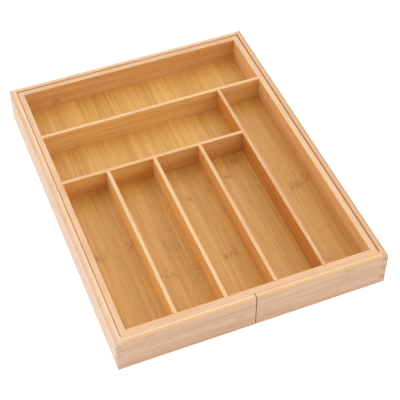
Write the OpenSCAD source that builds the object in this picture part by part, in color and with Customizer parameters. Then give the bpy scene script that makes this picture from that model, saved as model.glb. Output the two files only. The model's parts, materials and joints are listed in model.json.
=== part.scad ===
// Expanding drawer organizer made of bamboo boards. A centre unit with seven bins stands
// between a left and a right tray, which slide out from under it to fill a wider drawer.
// Millimetres. The origin is on the surface that the organizer stands on, at the middle of
// its closed footprint. +X points right, +Y points to the back of the drawer, +Z points up.

/* [Closed organizer] */
// Width with both trays pushed in
body_w = 330; // [270:5:420]
// Depth from the front of the drawer to the back
body_d = 432; // [350:6:540]
// Gap at the middle of the front, between the ends of the two trays
split_gap = 1; // [0.6:0.2:3]
// Gap at the middle of the back, where the trays' ends are cut to meet more closely
back_split_gap = 0.3; // [0.2:0.1:3]

/* [Sliding trays] */
// Height of the tray walls
tray_h = 50; // [46:1:70]
// Thickness of the tray walls
tray_wall = 7.7; // [6:0.1:10]
// Radius of the rounded outer top edge of the tray walls
round_over = 4; // [1:0.5:6]
// Length of a tray wall that stays beside the centre unit when its tray is fully out
tray_hold = 41; // [30:1:80]

/* [Centre unit] */
// Height of the centre unit's walls
unit_h = 40; // [30:1:60]
// Thickness of the centre unit's walls
unit_wall = 7.6; // [6:0.1:10]
// Gap between the centre unit's side walls and the tray walls beside them
side_gap = 0.8; // [0.4:0.1:2]
// Sliding gap between the centre unit and the tray walls in front of it and behind it
slide_gap = 0.4; // [0.3:0.1:1]
// Sliding gap between the centre unit and the tray floors under it
lift_gap = 0.3; // [0.2:0.1:1]

/* [Bins] */
// Clear depth of the full-width bin at the back
back_bin = 81; // [50:1:110]
// Clear depth of the cross bin in front of it
middle_bin = 80.5; // [50:0.5:110]
// Clear width of the long bin on the right
right_bin = 55.7; // [40:0.1:80]
// Thickness of the dividers
divider_t = 4.8; // [3:0.1:8]

/* [Floors and glued joints] */
// Thickness of the floor boards
floor_t = 5; // [3:0.5:8]
// Height of the wall left below each floor groove
floor_lip = 3; // [2:0.5:6]
// How far a floor board's edge stands in its groove
groove_hold = 3; // [2:0.1:3.5]
// Space left behind the floor's edge, in which the wood can swell
swell_gap = 0.4; // [0.2:0.1:1]
// Depth of the housings in the walls that hold the ends of the dividers
wall_housing = 2.5; // [1:0.1:3]
// Depth of the housings in a divider that hold the ends of other dividers
divider_housing = 1.6; // [0.5:0.1:2]
// Height of the bottom finger of a corner joint
first_finger = 7.5; // [4:0.5:12]
// Height of each finger above it
finger_h = 8; // [5:0.5:14]

/* [Stop pins and their guide] */
// Diameter of the dowel pins
pin_d = 5; // [3:0.5:8]
// Depth of the blind hole in the tray wall that holds a pin
pin_seat = 4.5; // [3:0.5:5]
// How far a pin reaches into the guide groove
pin_reach = 1.9; // [1:0.1:2.5]
// Distance from the free end of a tray wall to the middle of its pin
pin_inset = 12; // [8:1:18]
// Height of the pins above the underside of the centre unit
pin_height = 20; // [16:1:24]
// Play between a pin and the guide groove, above it, below it, at its tip and at the stop
pin_play = 0.3; // [0.2:0.1:0.6]
// Glue line around a pin in its hole
glue_gap = 0.05; // [0.02:0.01:0.1]

/* [Hidden] */
$fn = 64;

// Bins side by side in front of the middle cross divider, left of the long divider
front_bins = 4;
// Extra length of a cut where it leaves the wood
over = 1;

// Half sizes of the whole organizer, and of the space inside the tray walls
half_w = body_w / 2;
half_d = body_d / 2;
tray_in_x = half_w - tray_wall;
tray_in_y = half_d - tray_wall;

// Half sizes of the centre unit, outside and inside its walls
unit_x = tray_in_x - side_gap;
unit_y = tray_in_y - slide_gap;
unit_in_x = unit_x - unit_wall;
unit_in_y = unit_y - unit_wall;

// Levels of the centre unit's underside, its floor board and its rim
unit_z = floor_lip + floor_t + lift_gap;
unit_floor_z = unit_z + floor_lip;
bin_z = unit_floor_z + floor_t;
rim_z = unit_z + unit_h;

// Front faces of the two cross dividers, and left face of the long divider
back_y = unit_in_y - back_bin - divider_t;
middle_y = back_y - middle_bin - divider_t;
long_x = unit_in_x - right_bin - divider_t;

// Clear width of each of the equal front bins
front_bin = (long_x + unit_in_x - (front_bins - 1) * divider_t) / front_bins;

// Place of the pins with the trays pushed in, and how far the trays slide
pin_x = split_gap / 2 + pin_inset;
pin_z = unit_z + pin_height;
travel = unit_x - split_gap / 2 - tray_hold;

// Number of fingers in the corner joint of a wall
function finger_count(wall_h) = 1 + floor((wall_h - first_finger) / finger_h);
// Lower level of finger k, counted from 0 at the bottom
function finger_low(k) = k == 0 ? -over : first_finger + (k - 1) * finger_h;
// Upper level of finger k, where the top finger takes what is left of the wall
function finger_high(k, wall_h) =
    k == finger_count(wall_h) - 1 ? wall_h + over : first_finger + k * finger_h;
// Left face of divider k, counted from 1 at the left
function divider_x(k) = k * front_bin + (k - 1) * divider_t - unit_in_x;

// A straight board between two opposite corners
module board(low, high) {
    translate(low) cube(high - low);
}

// The other wall's fingers at a front left corner, cut out of one wall. The cut reaches this
// far in from the corner along X and Y. A side wall keeps the top finger and every second
// one below it, so its cut has skip = 1, and the cut in an end wall has skip = 0.
module finger_cuts(corner, reach, wall_h, skip) {
    count = finger_count(wall_h);
    translate([corner.x - over, corner.y - over, corner.z])
        for (k = [0 : count - 1])
            if ((count - 1 - k) % 2 == skip)
                translate([0, 0, finger_low(k)])
                    cube([reach.x + over, reach.y + over, finger_high(k, wall_h) - finger_low(k)]);
}

// Waste that a round-over bit takes from an edge along +X, with wood on its +Y and -Z sides
module edge_waste(length) {
    difference() {
        translate([-over, -over, -round_over])
            cube([length + 2 * over, round_over + over, round_over + over]);
        translate([-2 * over, round_over, -round_over])
            rotate([0, 90, 0])
                cylinder(r = round_over, h = length + 4 * over);
    }
}

// Waste along the outer top edges of the left tray
module tray_edge_waste() {
    translate([-half_w, -half_d, tray_h]) {
        edge_waste(body_w);
        mirror([1, -1, 0]) edge_waste(body_d);
    }
    translate([-half_w, half_d, tray_h]) mirror([0, 1, 0]) edge_waste(body_w);
}

// Floor board of the left tray, grown sideways where its groove leaves room to swell
module tray_floor_board(grow) {
    board([-tray_in_x - groove_hold - grow, -tray_in_y - groove_hold - grow, floor_lip],
        [grow - split_gap / 2, tray_in_y + groove_hold + grow, floor_lip + floor_t]);
}

// Side wall of the left tray
module tray_side_wall() {
    difference() {
        board([-half_w, -half_d, 0], [-tray_in_x, half_d, tray_h]);
        for (turn = [0, 1])
            mirror([0, turn, 0])
                finger_cuts([-half_w, -half_d, 0], [tray_wall + over, tray_wall], tray_h, 1);
        tray_edge_waste();
        tray_floor_board(swell_gap);
    }
}

// Front half-wall of the left tray, with the blind hole for its stop pin
module tray_end_wall(gap) {
    difference() {
        board([-half_w, -half_d, 0], [-gap / 2, -tray_in_y, tray_h]);
        finger_cuts([-half_w, -half_d, 0], [tray_wall, tray_wall + over], tray_h, 0);
        tray_edge_waste();
        tray_floor_board(swell_gap);
        translate([-pin_x, -tray_in_y + over, pin_z])
            rotate([90, 0, 0])
                cylinder(d = pin_d + 2 * glue_gap, h = pin_seat + over);
    }
}

// Stop pin in the front half-wall of the left tray
module tray_pin() {
    translate([-pin_x, slide_gap + pin_reach - tray_in_y, pin_z])
        rotate([90, 0, 0])
            cylinder(d = pin_d, h = pin_reach + slide_gap + pin_seat);
}

// Floor board of the centre unit, grown sideways where its groove leaves room to swell
module unit_floor_board(grow) {
    edge_x = unit_in_x + groove_hold + grow;
    edge_y = unit_in_y + groove_hold + grow;
    board([-edge_x, -edge_y, unit_floor_z], [edge_x, edge_y, bin_z]);
}

// Guide groove in the outer face of the centre unit's front wall, with round ends
module guide_groove() {
    end_x = pin_x + travel;
    groove_r = pin_d / 2 + pin_play;
    depth = pin_reach + pin_play;
    translate([0, depth - unit_y, pin_z]) {
        translate([-end_x, -depth - over, -groove_r]) cube([2 * end_x, depth + over, 2 * groove_r]);
        for (x = [-end_x, end_x])
            translate([x, 0, 0]) rotate([90, 0, 0]) cylinder(r = groove_r, h = depth + over);
    }
}

// Front wall of the centre unit before its divider housings are cut
module unit_end_wall() {
    difference() {
        board([-unit_x, -unit_y, unit_z], [unit_x, -unit_in_y, rim_z]);
        for (turn = [0, 1])
            mirror([turn, 0, 0])
                finger_cuts([-unit_x, -unit_y, unit_z], [unit_wall, unit_wall + over], unit_h, 0);
        unit_floor_board(swell_gap);
        guide_groove();
    }
}

// Left wall of the centre unit before its divider housings are cut
module unit_side_wall() {
    difference() {
        board([-unit_x, -unit_y, unit_z], [-unit_in_x, unit_y, rim_z]);
        for (turn = [0, 1])
            mirror([0, turn, 0])
                finger_cuts([-unit_x, -unit_y, unit_z], [unit_wall + over, unit_wall], unit_h, 1);
        unit_floor_board(swell_gap);
    }
}

// Boards of the dividers before housings are cut in them. Each stands on the floor board,
// reaches the rim, and has its ends in the housings of the pieces that it meets. A housing
// is cut with the board itself, up by rise to leave the wood at the rim.
module divider_board(low, high, rise) {
    board([low.x, low.y, bin_z], [high.x, high.y, rim_z + rise]);
}

module back_cross_board(rise) {
    end_x = unit_in_x + wall_housing;
    divider_board([-end_x, back_y], [end_x, back_y + divider_t], rise);
}

module middle_cross_board(rise) {
    divider_board([-unit_in_x - wall_housing, middle_y],
        [long_x + divider_housing, middle_y + divider_t], rise);
}

module long_board(rise) {
    divider_board([long_x, -unit_in_y - wall_housing],
        [long_x + divider_t, back_y + divider_housing], rise);
}

module front_board(k, rise) {
    divider_board([divider_x(k), -unit_in_y - wall_housing],
        [divider_x(k) + divider_t, middle_y + divider_housing], rise);
}

module front_boards(rise) {
    for (k = [1 : front_bins - 1])
        front_board(k, rise);
}

// Centre unit
module centre_floor() {
    color("goldenrod") unit_floor_board(0);
}

module centre_front_wall() {
    color("peru")
        difference() {
            unit_end_wall();
            front_boards(over);
            long_board(over);
        }
}

module centre_back_wall() {
    color("peru") mirror([0, 1, 0]) unit_end_wall();
}

module centre_left_wall() {
    color("peru")
        difference() {
            unit_side_wall();
            back_cross_board(over);
            middle_cross_board(over);
        }
}

module centre_right_wall() {
    color("peru")
        difference() {
            mirror([1, 0, 0]) unit_side_wall();
            back_cross_board(over);
        }
}

module back_cross_divider() {
    color("burlywood")
        difference() {
            back_cross_board(0);
            long_board(over);
        }
}

module middle_cross_divider() {
    color("burlywood")
        difference() {
            middle_cross_board(0);
            front_boards(over);
        }
}

module front_divider(k) {
    color("burlywood") front_board(k, 0);
}

module long_divider() {
    color("burlywood")
        difference() {
            long_board(0);
            middle_cross_board(over);
        }
}

// Sliding trays. The right tray is the left one mirrored.
module left_side_wall() {
    color("tan") tray_side_wall();
}

module left_front_wall() {
    color("tan") tray_end_wall(split_gap);
}

module left_back_wall() {
    color("tan") mirror([0, 1, 0]) tray_end_wall(back_split_gap);
}

module left_floor() {
    color("goldenrod") tray_floor_board(0);
}

module left_front_pin() {
    color("wheat") tray_pin();
}

module left_back_pin() {
    color("wheat") mirror([0, 1, 0]) tray_pin();
}

module to_the_right() {
    mirror([1, 0, 0]) children();
}

centre_floor();
centre_front_wall();
centre_back_wall();
centre_left_wall();
centre_right_wall();
back_cross_divider();
middle_cross_divider();
front_divider(1);  // divider_1
front_divider(2);  // divider_2
front_divider(3);  // divider_3
long_divider();
left_side_wall();
left_front_wall();
left_back_wall();
left_floor();
left_front_pin();
left_back_pin();
to_the_right() left_side_wall();  // right_side_wall
to_the_right() left_front_wall();  // right_front_wall
to_the_right() left_back_wall();  // right_back_wall
to_the_right() left_floor();  // right_floor
to_the_right() left_front_pin();  // right_front_pin
to_the_right() left_back_pin();  // right_back_pin
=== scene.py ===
import json
import math
import random

import bmesh
import bpy
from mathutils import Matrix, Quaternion, Vector
from mathutils.bvhtree import BVHTree


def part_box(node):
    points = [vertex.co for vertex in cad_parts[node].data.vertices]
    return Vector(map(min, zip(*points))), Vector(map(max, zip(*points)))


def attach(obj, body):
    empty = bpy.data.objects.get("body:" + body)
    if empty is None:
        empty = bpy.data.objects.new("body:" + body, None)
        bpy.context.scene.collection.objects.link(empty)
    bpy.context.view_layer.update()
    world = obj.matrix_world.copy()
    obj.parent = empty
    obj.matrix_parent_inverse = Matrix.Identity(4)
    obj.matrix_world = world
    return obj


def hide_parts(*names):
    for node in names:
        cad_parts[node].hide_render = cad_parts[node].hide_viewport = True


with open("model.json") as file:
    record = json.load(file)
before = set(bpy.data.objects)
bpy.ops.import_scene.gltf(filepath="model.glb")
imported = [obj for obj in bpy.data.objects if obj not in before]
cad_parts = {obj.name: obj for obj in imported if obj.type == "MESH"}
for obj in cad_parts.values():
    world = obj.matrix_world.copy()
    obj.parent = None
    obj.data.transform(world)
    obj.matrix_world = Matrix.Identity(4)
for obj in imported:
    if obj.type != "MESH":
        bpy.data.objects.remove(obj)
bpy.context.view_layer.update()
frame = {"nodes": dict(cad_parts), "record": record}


# --- Centre unit: floor panel -------------------------------------------------------------
# One thin panel of bamboo strips, glued edge to edge and running from front to back, planed
# and lacquered. It sits in grooves on all four sides, so that it can swell without splitting.

strip_width = 0.020
knuckle_gap = 0.38
same_point = 1e-6
draw = random.Random(21)


def other_boards(node, body):
    """The glued neighbours of a board, each with a search tree over its surface."""
    found = []
    for name in frame["record"]["behaviour"]["bodies"][body]:
        if name != node:
            skin = bmesh.new()
            skin.from_mesh(frame["nodes"][name].data)
            found.append((name, BVHTree.FromBMesh(skin)))
            skin.free()
    return found


def cut_across(mesh, axis, place):
    """Cuts every face that crosses a plane, without opening the mesh."""
    normal = Vector([float(i == axis) for i in range(3)])
    everything = mesh.verts[:] + mesh.edges[:] + mesh.faces[:]
    bmesh.ops.bisect_plane(mesh, geom=everything, dist=1e-7, plane_co=normal * place,
                           plane_no=normal)


def cut_at_joints(mesh, node, neighbours):
    """Cuts a board where a neighbour's face starts or ends, because easing stops there."""
    sliver = 0.0002
    low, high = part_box(node)
    for name, _ in neighbours:
        other_low, other_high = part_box(name)
        if all(other_low[i] <= high[i] and other_high[i] >= low[i] for i in range(3)):
            for axis in (0, 1):
                for place in (other_low[axis], other_high[axis]):
                    if low[axis] + sliver < place < high[axis] - sliver:
                        cut_across(mesh, axis, place)


def open_arrises(mesh, neighbours, crisp_end):
    """The sharp outer edges that sandpaper reaches.

    No neighbour covers them, they aren't the mitre of two routed round-overs, and they aren't
    at an end that is left crisp.
    """
    arris_angle = math.radians(30)
    glue_line = 0.00008
    upright, level = 0.05, 0.999
    at_the_end = 0.001
    found = []
    for edge in mesh.edges:
        if edge.is_convex and edge.calc_face_angle() > arris_angle:
            middle = (edge.verts[0].co + edge.verts[1].co) / 2
            covered = any(skin.find_nearest(middle)[3] < glue_line for _, skin in neighbours)
            mitre = all(upright < abs(face.normal.z) < level for face in edge.link_faces)
            crisp = crisp_end is not None and abs(middle.x - crisp_end) < at_the_end
            if not (covered or mitre or crisp):
                found.append(edge)
    return found


def eased_solid(node, neighbours, ease, crisp_end):
    """The CAD solid with its open arrises sanded round, and the layer that marks them."""
    flat_angle = math.radians(1)
    mesh = bmesh.new()
    mesh.from_mesh(frame["nodes"][node].data)
    bmesh.ops.remove_doubles(mesh, verts=mesh.verts, dist=same_point)
    bmesh.ops.dissolve_limit(mesh, angle_limit=flat_angle, verts=mesh.verts, edges=mesh.edges)
    cut_at_joints(mesh, node, neighbours)
    is_arris = mesh.faces.layers.int.new("is_arris")
    eased = bmesh.ops.bevel(mesh, geom=open_arrises(mesh, neighbours, crisp_end), offset=ease,
                            offset_type="OFFSET", segments=3, profile=0.5, affect="EDGES",
                            clamp_overlap=False)
    for face in eased["faces"]:
        face[is_arris] = 1
    return mesh, is_arris


def lay_strips(low, high, first_line, knuckles):
    """The glue lines between the edges of a board, and each strip's knuckle, tone and seed."""
    seed_range = 60
    count = math.ceil((high - first_line) / strip_width)
    lines = [first_line + number * strip_width for number in range(count)]
    strips = []
    for number in range(count + 1):
        given = number < len(knuckles)
        knuckle = knuckles[number] if given else draw.uniform(-0.5, 0.5) * knuckle_gap
        strips.append((knuckle, draw.random(), draw.uniform(0, seed_range)))
    return [line for line in lines if low < line < high], strips


def keep_arrises_sharp(mesh):
    """Shades the curves smooth and leaves the square edges sharp."""
    square_angle = math.radians(40)
    for face in mesh.faces:
        face.smooth = True
    for edge in mesh.edges:
        edge.smooth = edge.calc_face_angle() < square_angle


# The number of the tool that finished a spot: none on a board's faces and sanded arrises, the
# router on a round-over and the plane on a flat edge. The crest between those two gets its own
# mark and the rubbed colour, a painted highlight line on the end walls and a painted shade line
# on the side walls.
no_tool, router, painted_crest_mark, plane = 0.0, 0.5, 0.75, 1.0

# How much of a facet's normal lies across the strips: on a board's face, and on the facets of
# a round-over that come close to the flat edge and reach it.
board_face, near_edge, flat_edge = 0.05, 0.97, 0.999


def how_worked(normal, along, across, is_arris):
    """How much a face is end grain, from 0 to 1, and the tool that finished it."""
    end_grain_from, end_grain_range = 0.85, 0.12
    turned_to_end = 0.2
    end = min(1.0, max(0.0, abs(normal[along]) - end_grain_from) / end_grain_range)
    if abs(normal[across]) < board_face or is_arris:
        return end, no_tool
    if abs(normal[across]) >= near_edge:
        return end, plane
    return 0.0, router if abs(normal[along]) < turned_to_end else plane


def bamboo_board(node, body, axes, ease, first_line, shade=0.0, knuckles=(), crisp_end=None):
    """A board of glued strips in its CAD shape, with its open arrises sanded round.

    axes are the world axes that run along, across and through the strips. The strips' glue
    lines start at first_line, knuckles gives where each strip's knuckle lies, if it matters,
    and crisp_end is the x of an end that isn't sanded. Every face corner gets three attributes:
    grain, in metres from the strip's knuckle, middle line and mid thickness; strip, which is its
    lightness, its seed and the whole board's shade, which on the tray walls is partly painted
    light; and worked, which is 1 on end grain in x, 1 on a sanded arris in y, and in z the
    number of the tool, with its own mark on a round-over's crest for a painted line there.
    """
    along, across, through = axes
    low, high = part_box(node)
    mesh, is_arris = eased_solid(node, other_boards(node, body), ease, crisp_end)
    lines, strips = lay_strips(low[across], high[across], first_line, knuckles)
    for line in lines:
        cut_across(mesh, across, line)
    bmesh.ops.dissolve_degenerate(mesh, dist=same_point, edges=mesh.edges)
    keep_arrises_sharp(mesh)
    arris_faces = [face[is_arris] for face in mesh.faces]
    data = bpy.data.meshes.new(node + "_board")
    mesh.to_mesh(data)
    mesh.free()

    for name in ("grain", "strip", "worked"):
        data.attributes.new(name, "FLOAT_VECTOR", "CORNER")
    grain, strip, worked = (data.attributes[name].data for name in ("grain", "strip", "worked"))
    # The crest where a round-over meets the flat edge, which is painted as a line of light or
    # shade.
    crest = {point for face in data.polygons for point in face.vertices
             if near_edge <= abs(face.normal[across]) < flat_edge}
    for face in data.polygons:
        number = max(0, math.floor((face.center[across] - first_line) / strip_width) + 1)
        knuckle, light, seed = strips[number]
        middle = first_line + (number - 0.5) * strip_width
        arris = arris_faces[face.index]
        end, tool = how_worked(face.normal, along, across, arris)
        for corner in face.loop_indices:
            point = data.loops[corner].vertex_index
            place = data.vertices[point].co
            grain[corner].vector = (place[along] - knuckle, place[across] - middle,
                                    place[through] - (low[through] + high[through]) / 2)
            strip[corner].vector = (light, seed, shade)
            on_crest = tool == plane and point in crest
            worked[corner].vector = (end, arris, painted_crest_mark if on_crest else tool)

    board = bpy.data.objects.new(node + "_board", data)
    bpy.context.scene.collection.objects.link(board)
    board.modifiers.new("flats stay flat", "WEIGHTED_NORMAL").keep_sharp = True
    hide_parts(node)
    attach(board, body)
    return board


def add(tree, kind, inputs=None, **settings):
    """Adds a shader node. Its inputs are given by name or number, as a value or another output."""
    made = tree.nodes.new("ShaderNode" + kind)
    for key, value in settings.items():
        setattr(made, key, value)
    for key, value in (inputs or {}).items():
        if isinstance(value, bpy.types.NodeSocket):
            tree.links.new(value, made.inputs[key])
        else:
            made.inputs[key].default_value = value
    return made


def maths(tree, operation, *values):
    """The result of one Math node."""
    return add(tree, "Math", dict(enumerate(values)), operation=operation).outputs[0]


def vector_maths(tree, operation, first, second):
    """The result of one Vector Math node with two vectors."""
    return add(tree, "VectorMath", {0: first, 1: second}, operation=operation).outputs[0]


def blend(tree, amount, first, second):
    """The result of one colour Mix node."""
    mix = add(tree, "Mix", {"Factor": amount, 6: first, 7: second}, data_type="RGBA")
    return mix.outputs[2]


def board_mark(tree, name):
    """One of the three attributes that a bamboo board carries."""
    return add(tree, "Attribute", attribute_name=name).outputs["Vector"]


def parts_of(tree, vector):
    """The x, y and z of a vector."""
    return add(tree, "SeparateXYZ", {0: vector}).outputs


def noise(tree, vector, scale, seed, detail=2.0, roughness=0.5):
    """Noise with so many waves in a metre along, across and through the strips."""
    stretched = vector_maths(tree, "MULTIPLY", vector, scale)
    texture = add(tree, "TexNoise", {"Vector": stretched, "W": seed, "Scale": 1.0,
                                     "Detail": detail, "Roughness": roughness},
                  noise_dimensions="4D")
    return texture.outputs["Fac"]


def swing(tree, value, amount):
    """A value from 0 to 1 turned into one that swings by half the amount to either side of 0."""
    return maths(tree, "MULTIPLY", maths(tree, "SUBTRACT", value, 0.5), amount)


def between(tree, value, low, high):
    """0 below low, 1 above high and smooth between them."""
    return add(tree, "MapRange", {"Value": value, 1: low, 2: high},
               interpolation_type="SMOOTHSTEP").outputs[0]


def bell(tree, value, width):
    """1 where value is 0, falling away over width."""
    scaled = maths(tree, "DIVIDE", value, width)
    squared = maths(tree, "MULTIPLY", scaled, scaled)
    return maths(tree, "EXPONENT", maths(tree, "MULTIPLY", squared, -1.0))


def shader_group(name, inputs, outputs):
    """An empty group with named sockets, and the sockets inside it."""
    tree = bpy.data.node_groups.new(name, "ShaderNodeTree")
    kinds = {tuple: "NodeSocketColor", float: "NodeSocketFloat"}
    for label, value in inputs.items():
        socket = tree.interface.new_socket(label, in_out="INPUT", socket_type=kinds[type(value)])
        socket.default_value = value
    for label, kind in outputs.items():
        tree.interface.new_socket(label, in_out="OUTPUT", socket_type=kind)
    inside = tree.nodes.new("NodeGroupInput").outputs
    return tree, inside, tree.nodes.new("NodeGroupOutput").inputs


def knuckle_mask(tree, grain, from_knuckle, ripple, seed):
    """The knuckle: a dark crease, finer lines beside it and a stain, all bent and broken."""
    crease_width, line_gap, line_reach, stain_reach = 0.0011, 0.0027, 0.0060, 0.0075
    arch_height, line_depth, stain_depth = 0.014, 0.55, 0.85
    arch = swing(tree, noise(tree, grain, (12.0, 170.0, 60.0), seed), arch_height)
    ring = maths(tree, "ADD", maths(tree, "ADD", arch, from_knuckle), ripple)
    crease = bell(tree, ring, crease_width)
    waves = maths(tree, "SINE", maths(tree, "MULTIPLY", ring, 2 * math.pi / line_gap))
    lines = maths(tree, "MULTIPLY", between(tree, waves, 0.1, 1.0), bell(tree, ring, line_reach))
    lines = maths(tree, "MULTIPLY", lines, line_depth)
    broken = between(tree, noise(tree, grain, (120.0, 330.0, 300.0), seed), 0.40, 0.60)
    creases = maths(tree, "MULTIPLY", maths(tree, "MAXIMUM", crease, lines), broken)
    blots = between(tree, noise(tree, grain, (110.0, 190.0, 150.0), seed, 3.0), 0.42, 0.68)
    stain = maths(tree, "MULTIPLY", bell(tree, from_knuckle, stain_reach), blots)
    return maths(tree, "MINIMUM", 1.0, maths(tree, "MULTIPLY_ADD", stain, stain_depth, creases))


def make_bamboo():
    """Split bamboo: strips that differ in tone, long fibres, and a knuckle across each strip."""
    tree, given, out = shader_group(
        "bamboo",
        {"Pale": (0.8, 0.5, 0.27, 1.0), "Deep": (0.66, 0.36, 0.15, 1.0),
         "Knuckle": (0.42, 0.19, 0.07, 1.0), "Strip Contrast": 0.5, "Fibre Contrast": 0.5,
         "Knuckle Depth": 0.5},
        {"Color": "NodeSocketColor", "Fibre": "NodeSocketFloat", "Height": "NodeSocketFloat"})
    grain = board_mark(tree, "grain")
    light, seed, shade = parts_of(tree, board_mark(tree, "strip"))
    along, across, _ = parts_of(tree, grain)

    # The fibres ripple, and they swerve a little where they pass the knuckle.
    ripple_height, swerve_reach, swerve_share = 0.010, 0.010, 0.35
    from_knuckle = maths(tree, "WRAP", along, knuckle_gap / 2, -knuckle_gap / 2)
    near = bell(tree, from_knuckle, swerve_reach)
    ripple = swing(tree, noise(tree, grain, (9.0, 260.0, 260.0), seed, 1.0), ripple_height)
    swerve = maths(tree, "MULTIPLY", ripple, maths(tree, "MULTIPLY", near, swerve_share))
    bent = vector_maths(tree, "ADD", grain, add(tree, "CombineXYZ", {1: swerve}).outputs[0])

    streaks = noise(tree, bent, (7.0, 260.0, 170.0), seed, 3.0, 0.6)
    fibres = noise(tree, bent, (11.0, 900.0, 800.0), seed, 2.0, 0.6)
    dashes = between(tree, noise(tree, bent, (70.0, 2600.0, 2400.0), seed, 1.0), 0.58, 0.74)
    knuckle = knuckle_mask(tree, grain, from_knuckle, ripple, seed)

    # Strips differ in tone, streaks and fibres run through them, and open pores show as dashes.
    streak_swing, fibre_swing, dash_share = 3.4, 2.0, 0.45
    tone = maths(tree, "ADD", swing(tree, light, given["Strip Contrast"]), shade)
    fibre_tone = maths(tree, "ADD", swing(tree, streaks, streak_swing),
                       swing(tree, fibres, fibre_swing))
    fibre_tone = maths(tree, "MULTIPLY", fibre_tone, given["Fibre Contrast"])
    paleness = add(tree, "Math", {0: maths(tree, "ADD", tone, fibre_tone), 1: 0.5},
                   operation="ADD", use_clamp=True).outputs[0]
    colour = blend(tree, paleness, given["Deep"], given["Pale"])
    dash_depth = maths(tree, "MULTIPLY", given["Fibre Contrast"], dash_share)
    colour = blend(tree, maths(tree, "MULTIPLY", dashes, dash_depth), colour, given["Knuckle"])

    # Glue darkens the lines between strips, more where some was squeezed out.
    glue_reach, least_glue, more_glue = 0.0007, 0.08, 0.30
    glue = between(tree, maths(tree, "ABSOLUTE", across), strip_width / 2 - glue_reach,
                   strip_width / 2)
    squeezed = between(tree, noise(tree, grain, (14.0, 0.0, 0.0), seed, 1.0), 0.45, 0.65)
    squeezed = maths(tree, "MULTIPLY_ADD", squeezed, more_glue, least_glue)
    colour = blend(tree, maths(tree, "MULTIPLY", glue, squeezed), colour, given["Knuckle"])
    colour = blend(tree, maths(tree, "MULTIPLY", knuckle, given["Knuckle Depth"]), colour,
                   given["Knuckle"])
    tree.links.new(colour, out["Color"])
    tree.links.new(maths(tree, "MAXIMUM", dashes, knuckle), out["Fibre"])

    # Fibres stand up, pores and glue lines sink in.
    fibre_height, dash_height, glue_height = 0.5, -0.35, -0.4
    height = maths(tree, "MULTIPLY", dashes, dash_height)
    height = maths(tree, "MULTIPLY_ADD", fibres, fibre_height, height)
    height = maths(tree, "MULTIPLY_ADD", glue, glue_height, height)
    tree.links.new(height, out["Height"])
    return tree


def make_end_grain():
    """Sawn strip ends: the fibre bundles show as dark dots, and lacquer soaks in by patches."""
    bundles_per_metre, dot_depth = 900.0, 0.6
    least_soaked, more_soaked = 0.35, 0.5
    tree, given, out = shader_group(
        "end grain",
        {"Color": (0.7, 0.4, 0.2, 1.0), "End": (0.42, 0.25, 0.14, 1.0),
         "Dot": (0.24, 0.12, 0.06, 1.0)},
        {"Color": "NodeSocketColor", "Mask": "NodeSocketFloat"})
    is_end = parts_of(tree, board_mark(tree, "worked"))[0]
    grain = board_mark(tree, "grain")
    sliced = vector_maths(tree, "MULTIPLY", grain, (0.0, 1.0, 1.0))
    bundles = add(tree, "TexVoronoi", {"Vector": sliced, "Scale": bundles_per_metre}, feature="F1")
    dots = maths(tree, "SUBTRACT", 1.0, between(tree, bundles.outputs["Distance"], 0.18, 0.42))
    dots = maths(tree, "MULTIPLY", dots, dot_depth)
    blotches = between(tree, noise(tree, grain, (120.0, 190.0, 190.0), 3.0), 0.38, 0.62)
    end = blend(tree, maths(tree, "MULTIPLY", dots, blotches), given["End"], given["Dot"])
    soaked = maths(tree, "MULTIPLY_ADD", blotches, more_soaked, least_soaked)
    soaked = maths(tree, "MULTIPLY", is_end, soaked)
    tree.links.new(blend(tree, soaked, given["Color"], end), out["Color"])
    tree.links.new(is_end, out["Mask"])
    return tree


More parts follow.
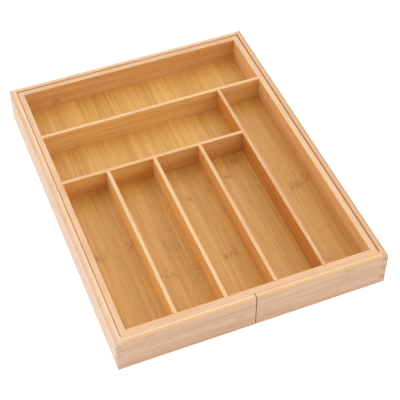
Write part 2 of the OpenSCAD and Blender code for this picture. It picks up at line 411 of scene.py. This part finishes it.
def make_lacquer():
    """Satin lacquer, paler on edges and arrises: partly rubbed thin, partly painted light."""
    bare_wood_and_painted_light = (0.9, 0.62, 0.38, 1.0)
    tree, given, out = shader_group(
        "lacquer",
        {"Color": (0.7, 0.4, 0.2, 1.0), "Rubbed And Painted Light": bare_wood_and_painted_light, "Routed": bare_wood_and_painted_light,
         "Planed": bare_wood_and_painted_light, "Edge": 0.4, "Arris": 0.5, "Edge Shade": 0.1, "Satin": 0.38,
         "Fibre": 0.0, "End": 0.0},
        {"Color": "NodeSocketColor", "Roughness": "NodeSocketFloat"})
    _, on_arris, tool = parts_of(tree, board_mark(tree, "worked"))
    shade = parts_of(tree, board_mark(tree, "strip"))[2]
    grain = board_mark(tree, "grain")

    # The bare colour of an edge depends on the tool, and fine streaks were drawn along it. It is
    # partly painted light: the crest between router and plane carries its own painted line, and
    # the edge follows the board's shade, which on the tray walls holds painted light. Where an
    # edge is lighter, it gains the most in blue.
    router_spread, plane_spread, drawn_depth, gain = 0.1, 0.13, 0.5, (0.5, 1.0, 1.6)
    routed = bell(tree, maths(tree, "SUBTRACT", tool, router), router_spread)
    planed = bell(tree, maths(tree, "SUBTRACT", tool, plane), plane_spread)
    bare_and_painted_light = blend(tree, planed, blend(tree, routed, given["Rubbed And Painted Light"], given["Routed"]),
                 given["Planed"])
    drawn = swing(tree, noise(tree, grain, (8.0, 700.0, 700.0), 11.0), drawn_depth)
    lighter = maths(tree, "MULTIPLY_ADD", shade, given["Edge Shade"], drawn)
    lighter = add(tree, "VectorMath", {0: gain, "Scale": lighter}, operation="SCALE").outputs[0]
    lighter = vector_maths(tree, "ADD", lighter, (1.0, 1.0, 1.0))
    bare_and_painted_light = vector_maths(tree, "MULTIPLY", bare_and_painted_light, lighter)

    # Edges and arrises take the rubbed, painted-light colour by patches, but the sawn ends don't.
    least_rubbed, more_rubbed = 0.65, 0.35
    patchy = between(tree, noise(tree, grain, (35.0, 160.0, 160.0), 7.0, 3.0), 0.32, 0.68)
    arris = maths(tree, "MULTIPLY", on_arris, given["Arris"])
    any_edge = maths(tree, "MINIMUM", 1.0, maths(tree, "DIVIDE", tool, router))
    edge = maths(tree, "MULTIPLY", any_edge, given["Edge"])
    not_end = maths(tree, "SUBTRACT", 1.0, given["End"])
    rubbed_and_painted_light = maths(tree, "MULTIPLY", maths(tree, "MAXIMUM", arris, edge), not_end)
    share = maths(tree, "MULTIPLY_ADD", patchy, more_rubbed, least_rubbed)
    rubbed_and_painted_light = maths(tree, "MULTIPLY", rubbed_and_painted_light, share)
    tree.links.new(blend(tree, rubbed_and_painted_light, given["Color"], bare_and_painted_light), out["Color"])

    # Pores, thin patches, sawn ends and the rubbed, painted-light edges are each duller than the
    # full coat.
    dull = given["Satin"]
    for spot, duller in ((given["Fibre"], 0.10), (patchy, 0.07), (given["End"], 0.18),
                         (rubbed_and_painted_light, 0.08)):
        dull = maths(tree, "MULTIPLY_ADD", spot, duller, dull)
    tree.links.new(dull, out["Roughness"])
    return tree


bamboo, end_grain, lacquer = make_bamboo(), make_end_grain(), make_lacquer()


def bamboo_finish(name, pale, deep, knuckle, strip_contrast, fibre_contrast, knuckle_depth,
                  rubbed_and_painted_light=(0.76, 0.49, 0.31), routed=None, planed=None, edge=0.55, arris=0.6,
                  edge_shade=0.1, end=None):
    """A lacquered bamboo material. Colours are red, green and blue. The rubbed colour on edges and
    arrises is partly sanded wear and partly painted light.
    """
    satin, relief_strength, relief_depth = 0.36, 0.6, 0.00006
    material = bpy.data.materials.new(name)
    material.use_nodes = True
    tree = material.node_tree
    shader = tree.nodes["Principled BSDF"]
    wood = add(tree, "Group", {
        "Pale": (*pale, 1), "Deep": (*deep, 1), "Knuckle": (*knuckle, 1),
        "Strip Contrast": strip_contrast, "Fibre Contrast": fibre_contrast,
        "Knuckle Depth": knuckle_depth}, node_tree=bamboo)
    ends = add(tree, "Group", {
        "Color": wood.outputs["Color"], "End": (*(end or deep), 1), "Dot": (*knuckle, 1)},
        node_tree=end_grain)
    coat = add(tree, "Group", {
        "Color": ends.outputs["Color"], "Fibre": wood.outputs["Fibre"],
        "End": ends.outputs["Mask"], "Rubbed And Painted Light": (*rubbed_and_painted_light, 1), "Routed": (*(routed or rubbed_and_painted_light), 1),
        "Planed": (*(planed or rubbed_and_painted_light), 1), "Edge": edge, "Arris": arris,
        "Edge Shade": edge_shade, "Satin": satin}, node_tree=lacquer)
    relief = add(tree, "Bump", {"Height": wood.outputs["Height"], "Strength": relief_strength,
                                "Distance": relief_depth})
    tree.links.new(coat.outputs["Color"], shader.inputs["Base Color"])
    tree.links.new(coat.outputs["Roughness"], shader.inputs["Roughness"])
    tree.links.new(relief.outputs["Normal"], shader.inputs["Normal"])
    return material


centre_floor_finish = bamboo_finish(
    "centre floor bamboo", pale=(0.74, 0.405, 0.106), deep=(0.545, 0.266, 0.047),
    knuckle=(0.34, 0.12, 0.02), strip_contrast=0.4, fibre_contrast=0.58, knuckle_depth=0.6)

# The strips as they were laid, from left to right, by where the knuckle of each one came.
panel_knuckles = (0.060, -0.070, 0.035, -0.068, -0.127, -0.085, -0.130, -0.023, -0.123, -0.017,
                  -0.006, 0.014, 0.063, -0.168, -0.053, -0.048)
panel_first_line = -0.142
floor_ease = 0.0004
along_y_flat = (1, 0, 2)
centre_panel = bamboo_board("centre_floor", "centre_unit", along_y_flat, floor_ease,
                            panel_first_line, knuckles=panel_knuckles)
centre_panel.data.materials.append(centre_floor_finish)


# --- Centre unit: four walls --------------------------------------------------------------
# The sliding inner frame: two long and two short walls of 7.6 mm bamboo board, two strips
# high, glued with interlocking fingers at the corners, then sanded flush and lacquered.

along_x, along_y = (0, 2, 1), (1, 2, 0)
wall_ease = 0.0005
# The rims take the paler rubbed colour: partly sanded wear, partly a painted highlight on the
# tops.
centre_wall_finish = bamboo_finish(
    "centre wall bamboo", pale=(0.85, 0.50, 0.205), deep=(0.69, 0.34, 0.105),
    knuckle=(0.40, 0.15, 0.04), strip_contrast=0.5, fibre_contrast=0.7, knuckle_depth=0.4,
    rubbed_and_painted_light=(0.805, 0.53, 0.33), edge=0.75)

for side, axes, shade in (("front", along_x, 0.0), ("back", along_x, -0.3),
                          ("left", along_y, 0.2), ("right", along_y, 0.25)):
    node = f"centre_{side}_wall"
    wall_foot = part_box(node)[0].z
    wall = bamboo_board(node, "centre_unit", axes, wall_ease, wall_foot + strip_width, shade)
    wall.data.materials.append(centre_wall_finish)


# --- Centre unit: dividers ----------------------------------------------------------------
# Thin bamboo boards that part the bins, each housed in a shallow slot at both ends and
# standing on the floor panel. Two run across the unit, one runs long, and three are short.

divider_ease = 0.0005
# The divider tops take the paler rubbed colour: partly sanded wear, partly a painted highlight.
divider_finish = bamboo_finish(
    "divider bamboo", pale=(0.89, 0.54, 0.185), deep=(0.56, 0.19, 0.025),
    knuckle=(0.38, 0.14, 0.03), strip_contrast=0.2, fibre_contrast=0.4, knuckle_depth=0.35,
    rubbed_and_painted_light=(0.81, 0.51, 0.28), edge=0.8)

for node, axes, shade in (("back_cross_divider", along_x, 0.37),
                          ("middle_cross_divider", along_x, 0.02),
                          ("long_divider", along_y, -0.5), ("divider_1", along_y, 0.35),
                          ("divider_2", along_y, 0.35), ("divider_3", along_y, -0.05)):
    lowest_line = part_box(node)[0].z + 0.6 * strip_width
    divider = bamboo_board(node, "centre_unit", axes, divider_ease, lowest_line, shade)
    divider.data.materials.append(divider_finish)


# --- Trays: outer walls -------------------------------------------------------------------
# Each of the two trays is a side wall with a front and a back wall half as long as the unit,
# finger-jointed and glued, with the top outer arris rounded over by a router.

tray_ease = 0.0004
tray_first_line = 0.006
split_end = 0.0
tray_deep, tray_knuckle = (0.64, 0.38, 0.21), (0.52, 0.22, 0.07)
tray_end_grain = (0.55, 0.37, 0.265)
# The side and end walls are copies of one bamboo, lit and shaded by paint: the end walls'
# round-overs and rubbed edges are painted paler and the side walls' darker, for the front catching
# more light than the sides.
side_wall_painted_light_finish = bamboo_finish(
    "tray side wall bamboo with painted light", pale=(0.905, 0.655, 0.51), deep=tray_deep, knuckle=tray_knuckle,
    strip_contrast=0.2, fibre_contrast=0.5, knuckle_depth=0.35, rubbed_and_painted_light=(0.69, 0.41, 0.21),
    routed=(0.68, 0.385, 0.185), planed=(0.77, 0.48, 0.265), edge=0.95, edge_shade=0.3,
    end=tray_end_grain)
end_wall_painted_light_finish = bamboo_finish(
    "tray end wall bamboo with painted light", pale=(0.89, 0.63, 0.47), deep=tray_deep, knuckle=tray_knuckle,
    strip_contrast=0.2, fibre_contrast=0.5, knuckle_depth=0.35, rubbed_and_painted_light=(0.88, 0.63, 0.41),
    routed=(0.84, 0.51, 0.255), planed=(0.73, 0.475, 0.265), edge=0.95, edge_shade=0.3,
    end=tray_end_grain)

# Each tray wall's shade is partly board tone and partly painted light: the left side wall is paler
# where the light falls most, and the front walls and the right side wall are darker.
tray_tone_and_painted_light = {"left_side_wall": 0.4, "right_side_wall": -0.45, "left_front_wall": -0.15,
               "right_front_wall": -0.2}
tray_knuckles = {"left_front_wall": (-0.05, -0.018, -0.125),
                 "right_front_wall": (0.045, 0.012, 0.115)}
for tray in ("left_tray", "right_tray"):
    for part, axes, finish, crisp_end in (("side_wall", along_y, side_wall_painted_light_finish, None),
                                          ("front_wall", along_x, end_wall_painted_light_finish, None),
                                          ("back_wall", along_x, end_wall_painted_light_finish, split_end)):
        node = tray.replace("tray", part)
        wall = bamboo_board(node, tray, axes, tray_ease, tray_first_line,
                            tray_tone_and_painted_light.get(node, 0.0), tray_knuckles.get(node, ()), crisp_end)
        wall.data.materials.append(finish)


# --- Trays: floor boards ------------------------------------------------------------------
# A bamboo panel closes each tray below the centre unit. It is let into a groove in the three
# walls, and its fourth edge stays free at the split between the trays.

tray_floor_finish = bamboo_finish(
    "tray floor bamboo", pale=(0.72, 0.44, 0.20), deep=(0.58, 0.32, 0.12),
    knuckle=(0.36, 0.15, 0.05), strip_contrast=0.5, fibre_contrast=0.5, knuckle_depth=0.5)

for tray in ("left_tray", "right_tray"):
    node = tray.replace("tray", "floor")
    panel_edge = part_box(node)[0].x
    panel = bamboo_board(node, tray, along_y_flat, floor_ease, panel_edge + 0.4 * strip_width)
    panel.data.materials.append(tray_floor_finish)


# --- Trays: guide pins --------------------------------------------------------------------
# Four bamboo dowels, one near the split end of each tray's front and back wall. Each is glued
# into a blind hole and runs in a groove of the centre unit, where it stops the tray.

pin_ease = 0.0003
pin_finish = bamboo_finish(
    "pin wood", pale=(0.74, 0.50, 0.29), deep=(0.62, 0.37, 0.18), knuckle=(0.38, 0.18, 0.08),
    strip_contrast=0.2, fibre_contrast=0.4, knuckle_depth=0.0, arris=0.2)

for tray in ("left_tray", "right_tray"):
    for part in ("front_pin", "back_pin"):
        node = tray.replace("tray", part)
        pin = bamboo_board(node, tray, along_y, pin_ease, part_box(node)[0].z)
        pin.data.materials.append(pin_finish)


# --- Stand and light ----------------------------------------------------------------------
# A white table exposed to pure white, with large softboxes high on the right, behind and on the
# left, low ones on the left and in front on the right, and a little light from all round.

table_size = 12
table_glow = 0.45
bpy.ops.mesh.primitive_plane_add(size=table_size)
table = bpy.context.object
table.name = "table"
table_paint = bpy.data.materials.new("table paint")
table_paint.use_nodes = True
table_tree = table_paint.node_tree
table_shader = table_tree.nodes["Principled BSDF"]
table_shader.inputs["Base Color"].default_value = (0.90, 0.90, 0.90, 1)
table_shader.inputs["Roughness"].default_value = 0.9
table_shader.inputs["Specular IOR Level"].default_value = 0.1
table_shader.inputs["Emission Color"].default_value = (1, 1, 1, 1)
seen = add(table_tree, "LightPath").outputs["Is Camera Ray"]
table_tree.links.new(maths(table_tree, "MULTIPLY", seen, table_glow),
                     table_shader.inputs["Emission Strength"])
table.data.materials.append(table_paint)

# Each softbox by its bearing, counted from the right towards the back, its height, both in
# degrees, and its strength.
softboxes = ((0, 50, 1.3), (45, 50, 0.2), (90, 50, 1.5), (180, 50, 1.25), (315, 50, 0.4),
             (180, 15, 1.55), (315, 15, 1.7))
softbox_falloff = 8.0
all_round = 0.25

studio = bpy.data.worlds.new("studio")
bpy.context.scene.world = studio
studio.use_nodes = True
room = studio.node_tree
toward = add(room, "TexCoord").outputs["Generated"]
strength = all_round
for bearing, height, power in softboxes:
    bearing, height = math.radians(bearing), math.radians(height)
    centre = (math.cos(bearing) * math.cos(height), math.sin(bearing) * math.cos(height),
              math.sin(height))
    facing_box = add(room, "VectorMath", {0: toward, 1: centre},
                     operation="DOT_PRODUCT").outputs["Value"]
    glow = maths(room, "POWER", maths(room, "MAXIMUM", facing_box, 0.0), softbox_falloff)
    strength = maths(room, "MULTIPLY_ADD", glow, power, strength)
background = room.nodes["Background"].inputs
background["Color"].default_value = (1, 1, 1, 1)
room.links.new(strength, background["Strength"])


# --- Camera -------------------------------------------------------------------------------
# A long lens looks down on the part from the front left, close enough for the part to fill the
# frame. Nothing is out of focus.

camera = bpy.data.objects.new("camera", bpy.data.cameras.new("camera"))
bpy.context.scene.collection.objects.link(camera)
bpy.context.scene.camera = camera
camera.data.sensor_width = 36
camera.data.lens = 97.97
camera.data.clip_start = 0.05
camera.data.clip_end = 50
aim = Vector((0.00371, -0.03718, 0.025))
distance = 1.33366
heading, tilt, roll = math.radians(21.66), math.radians(48.28), math.radians(-0.277)
look = Vector((math.sin(heading) * math.cos(tilt), math.cos(heading) * math.cos(tilt),
               -math.sin(tilt)))
camera.location = aim - look * distance
camera.rotation_mode = "QUATERNION"
camera.rotation_quaternion = Quaternion(look, -roll) @ look.to_track_quat("-Z", "Y")

bpy.context.scene.view_settings.view_transform = "Standard"
